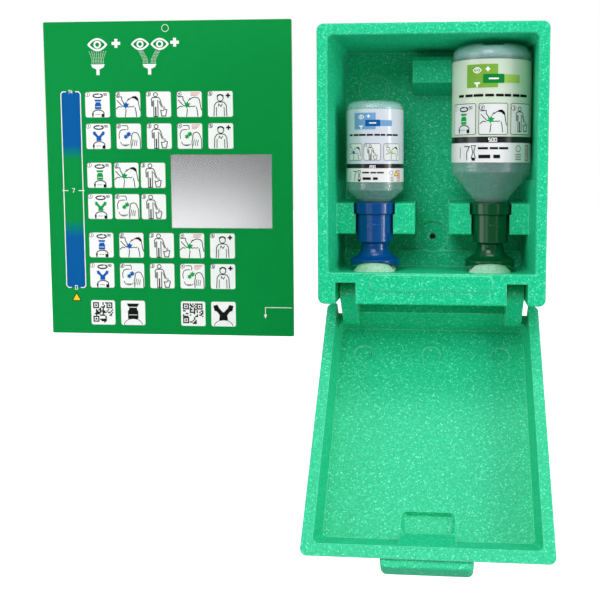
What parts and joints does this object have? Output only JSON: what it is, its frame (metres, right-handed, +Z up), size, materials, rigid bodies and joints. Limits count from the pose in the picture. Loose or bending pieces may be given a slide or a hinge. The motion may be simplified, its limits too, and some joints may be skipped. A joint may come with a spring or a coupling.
{
  "type": "eyewash station",
  "caption": "Wall-mounted eyewash station: a green foam box with a hinged lid, inverted rinse bottles with twist-off eyecups, and an instruction sign with a mirror.",
  "frame": {"origin": "mouth of the box's screw hole on the wall plane", "axes": "+X to the right along the wall, +Y into the wall, +Z up"},
  "size_m": [0.5135, 0.2195, 0.4876],
  "materials": {
    "foam": "fused expanded polypropylene beads",
    "pin": "satin",
    "pad": "fine closed-cell foam",
    "sign": "satin printed sheet",
    "mirror": "polished",
    "adhesive": "foam tape",
    "bottle": "translucent",
    "saline": "clear liquid",
    "small_label": "printed film",
    "large_label": "printed film",
    "small_cap": "glossy",
    "large_cap": "glossy",
    "nozzle": "satin",
    "gasket": "matt"
  },
  "bodies": {
    "station": {"box_shell": "foam", "hinge_pin_left": "pin", "hinge_pin_right": "pin", "dust_pad_small": "pad", "dust_pad_large": "pad", "sign_board": "sign", "sign_mirror": "mirror", "sign_adhesive_strips": "adhesive"},
    "lid": {"lid": "foam"},
    "small_bottle_unit": {"small_bottle": "bottle", "small_saline": "saline", "small_label": "small_label", "small_collar": "small_cap", "small_gasket": "gasket", "small_nozzle": "nozzle"},
    "small_cap": {"small_eyecup": "small_cap"},
    "large_bottle_unit": {"large_bottle": "bottle", "large_saline": "saline", "large_label": "large_label", "large_collar": "large_cap", "large_gasket": "gasket", "large_nozzle": "nozzle"},
    "large_cap": {"large_eyecup": "large_cap"}
  },
  "joints": [
    {"name": "lid_hinge", "type": "hinge", "parent": "station", "child": "lid", "pos_m": [0, -0.069, -0.047], "axis": [1, 0, 0], "range_deg": [-135, 0]},
    {"name": "small_bottle_slide", "type": "slide", "parent": "station", "child": "small_bottle_unit", "axis": [0, -1, 0], "range_m": [0, 0.13]},
    {"name": "small_cap_twist", "type": "hinge", "parent": "small_bottle_unit", "child": "small_cap", "pos_m": [-0.0555, -0.0545, 0], "axis": [0, 0, -1], "range_deg": [0, 90]},
    {"name": "large_bottle_slide", "type": "slide", "parent": "station", "child": "large_bottle_unit", "axis": [0, -1, 0], "range_m": [0, 0.13]},
    {"name": "large_cap_twist", "type": "hinge", "parent": "large_bottle_unit", "child": "large_cap", "pos_m": [0.056, -0.0545, 0], "axis": [0, 0, -1], "range_deg": [0, 90]}
  ]
}
